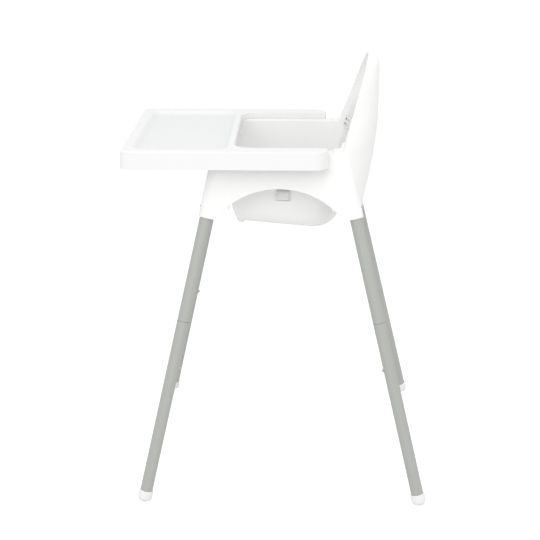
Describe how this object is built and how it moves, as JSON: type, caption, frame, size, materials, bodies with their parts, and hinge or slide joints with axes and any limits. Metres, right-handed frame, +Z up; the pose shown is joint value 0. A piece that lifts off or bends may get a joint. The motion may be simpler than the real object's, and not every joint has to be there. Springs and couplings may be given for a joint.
{
  "type": "baby high chair",
  "caption": "White moulded bucket seat on four splayed two-part legs, with a lift-off tray and a five-point harness with a central buckle.",
  "frame": {"origin": "middle of the footprint, on the floor", "axes": "+Z up, -Y the way the child faces, +X the child's left"},
  "size_m": [0.5782, 0.6253, 0.8993],
  "materials": {
    "seat_plastic": "satin moulded polypropylene, white",
    "tray_plastic": "satin moulded polypropylene, white, slightly cooler than the seat",
    "leg_powder_coat": "silver-grey powder coat, fine grain",
    "glide_plastic": "white moulded polyethylene",
    "button_steel": "polished zinc-plated steel",
    "spring_steel": "bright spring steel",
    "webbing": "white woven polyester webbing",
    "slider_plastic": "glossy white acetal",
    "buckle_plastic": "glossy white acetal",
    "button_plastic": "light grey acetal"
  },
  "bodies": {
    "chair": {"seat_shell": "seat_plastic", "crotch_strap": "webbing", "buckle_housing": "buckle_plastic", "upper_leg_front_left": "leg_powder_coat", "lower_leg_front_left": "leg_powder_coat", "foot_glide_front_left": "glide_plastic", "leg_spring_front_left": "spring_steel", "joint_spring_front_left": "spring_steel", "upper_leg_front_right": "leg_powder_coat", "lower_leg_front_right": "leg_powder_coat", "foot_glide_front_right": "glide_plastic", "leg_spring_front_right": "spring_steel", "joint_spring_front_right": "spring_steel", "upper_leg_rear_left": "leg_powder_coat", "lower_leg_rear_left": "leg_powder_coat", "foot_glide_rear_left": "glide_plastic", "leg_spring_rear_left": "spring_steel", "joint_spring_rear_left": "spring_steel", "upper_leg_rear_right": "leg_powder_coat", "lower_leg_rear_right": "leg_powder_coat", "foot_glide_rear_right": "glide_plastic", "leg_spring_rear_right": "spring_steel", "joint_spring_rear_right": "spring_steel", "shoulder_strap_left": "webbing", "waist_strap_left": "webbing", "buckle_tongue_left": "buckle_plastic", "shoulder_strap_right": "webbing", "waist_strap_right": "webbing", "buckle_tongue_right": "buckle_plastic"},
    "tray": {"tray": "tray_plastic"},
    "release_button": {"buckle_button": "button_plastic"},
    "slider_left": {"shoulder_slider_left": "slider_plastic"},
    "slider_right": {"shoulder_slider_right": "slider_plastic"},
    "snap_button_front_left": {"leg_button_front_left": "button_steel"},
    "joint_snap_front_left": {"joint_button_front_left": "button_steel"},
    "snap_button_front_right": {"leg_button_front_right": "button_steel"},
    "joint_snap_front_right": {"joint_button_front_right": "button_steel"},
    "snap_button_rear_left": {"leg_button_rear_left": "button_steel"},
    "joint_snap_rear_left": {"joint_button_rear_left": "button_steel"},
    "snap_button_rear_right": {"leg_button_rear_right": "button_steel"},
    "joint_snap_rear_right": {"joint_button_rear_right": "button_steel"}
  },
  "joints": [
    {"name": "tray_lift", "type": "slide", "parent": "chair", "child": "tray", "axis": [0, 0, 1], "range_m": [0, 0.15]},
    {"name": "buckle_press", "type": "slide", "parent": "chair", "child": "release_button", "axis": [0, 0, -1], "range_m": [0, 0.003], "stiffness_N_per_m": 600, "springref_m": -0.001},
    {"name": "slider_left_slide", "type": "slide", "parent": "chair", "child": "slider_left", "axis": [-0.0713, -0.2853, -0.9558], "range_m": [-0.012, 0.012]},
    {"name": "slider_right_slide", "type": "slide", "parent": "chair", "child": "slider_right", "axis": [0.0713, -0.2853, -0.9558], "range_m": [-0.012, 0.012]},
    {"name": "snap_front_left_press", "type": "slide", "parent": "chair", "child": "snap_button_front_left", "axis": [0.0401, 0.9762, -0.2133], "range_m": [0, 0.004], "stiffness_N_per_m": 700, "springref_m": -0.001},
    {"name": "joint_snap_front_left_press", "type": "slide", "parent": "chair", "child": "joint_snap_front_left", "axis": [-0.0401, -0.9762, 0.2133], "range_m": [0, 0.004], "stiffness_N_per_m": 700, "springref_m": -0.001},
    {"name": "snap_front_right_press", "type": "slide", "parent": "chair", "child": "snap_button_front_right", "axis": [-0.0401, 0.9762, -0.2133], "range_m": [0, 0.004], "stiffness_N_per_m": 700, "springref_m": -0.001},
    {"name": "joint_snap_front_right_press", "type": "slide", "parent": "chair", "child": "joint_snap_front_right", "axis": [0.0401, -0.9762, 0.2133], "range_m": [0, 0.004], "stiffness_N_per_m": 700, "springref_m": -0.001},
    {"name": "snap_rear_left_press", "type": "slide", "parent": "chair", "child": "snap_button_rear_left", "axis": [0.0426, -0.9731, -0.2262], "range_m": [0, 0.004], "stiffness_N_per_m": 700, "springref_m": -0.001},
    {"name": "joint_snap_rear_left_press", "type": "slide", "parent": "chair", "child": "joint_snap_rear_left", "axis": [-0.0426, 0.9731, 0.2262], "range_m": [0, 0.004], "stiffness_N_per_m": 700, "springref_m": -0.001},
    {"name": "snap_rear_right_press", "type": "slide", "parent": "chair", "child": "snap_button_rear_right", "axis": [-0.0426, -0.9731, -0.2262], "range_m": [0, 0.004], "stiffness_N_per_m": 700, "springref_m": -0.001},
    {"name": "joint_snap_rear_right_press", "type": "slide", "parent": "chair", "child": "joint_snap_rear_right", "axis": [0.0426, 0.9731, 0.2262], "range_m": [0, 0.004], "stiffness_N_per_m": 700, "springref_m": -0.001}
  ]
}
